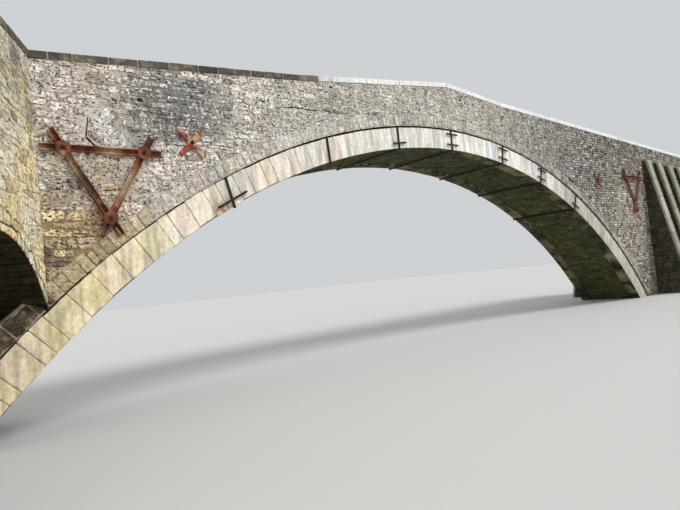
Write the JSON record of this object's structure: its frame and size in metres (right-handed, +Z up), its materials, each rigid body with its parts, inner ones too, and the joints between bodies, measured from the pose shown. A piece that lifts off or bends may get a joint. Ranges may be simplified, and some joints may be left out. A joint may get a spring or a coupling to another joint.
{
  "type": "stone arch bridge",
  "caption": "Hump-backed stone footbridge with a wide segmental arch, solid parapets, iron wall ties and an angled approach over a small flood arch.",
  "frame": {"origin": "middle of the whole footprint, on the base level where the abutments meet the ground", "axes": "+X to the right along the road, +Y away from the near face, +Z up"},
  "size_m": [39.4246, 10.8976, 8.51],
  "materials": {
    "dressed_stone": "pale dressed limestone, weathered",
    "rubble_stone": "grey and beige limestone rubble with open joints",
    "vault_stone": "damp coursed rubble",
    "rubble_fill": "packed rubble and earth",
    "paving": "worn cobbles",
    "coping_stone": "pale coping slabs",
    "buttress_stone": "dark rubble",
    "rusty_iron": "rusted wrought iron"
  },
  "bodies": {
    "root": {"approach_coping_far": "coping_stone", "approach_coping_near": "coping_stone", "approach_fill": "rubble_fill", "approach_parapet_far": "rubble_stone", "approach_parapet_near": "rubble_stone", "approach_roadway": "paving", "approach_wall_far": "rubble_stone", "approach_wall_near": "rubble_stone", "beam_triangles_far": "rusty_iron", "beam_triangles_near": "rusty_iron", "buttress_copings_far": "coping_stone", "buttress_copings_near": "coping_stone", "buttresses_far": "buttress_stone", "buttresses_near": "buttress_stone", "coping_far_left": "coping_stone", "coping_far_right": "coping_stone", "coping_near_left": "coping_stone", "coping_near_right": "coping_stone", "corner_pier": "rubble_stone", "end_pier": "rubble_stone", "fill_left": "rubble_fill", "fill_right": "rubble_fill", "flood_barrel": "vault_stone", "flood_ring_far": "dressed_stone", "flood_ring_near": "dressed_stone", "main_barrel": "vault_stone", "main_ring_far": "dressed_stone", "main_ring_near": "dressed_stone", "outer_ring_far": "rubble_stone", "outer_ring_near": "rubble_stone", "parapet_far_left": "rubble_stone", "parapet_far_right": "rubble_stone", "parapet_near_left": "rubble_stone", "parapet_near_right": "rubble_stone", "ring_straps_far": "rusty_iron", "ring_straps_near": "rusty_iron", "roadway_left": "paving", "roadway_right": "paving", "soffit_ties": "rusty_iron", "spandrel_far_left": "rubble_stone", "spandrel_far_right": "rubble_stone", "spandrel_near_left": "rubble_stone", "spandrel_near_right": "rubble_stone", "wall_crosses_far": "rusty_iron", "wall_crosses_near": "rusty_iron"}
  },
  "joints": []
}
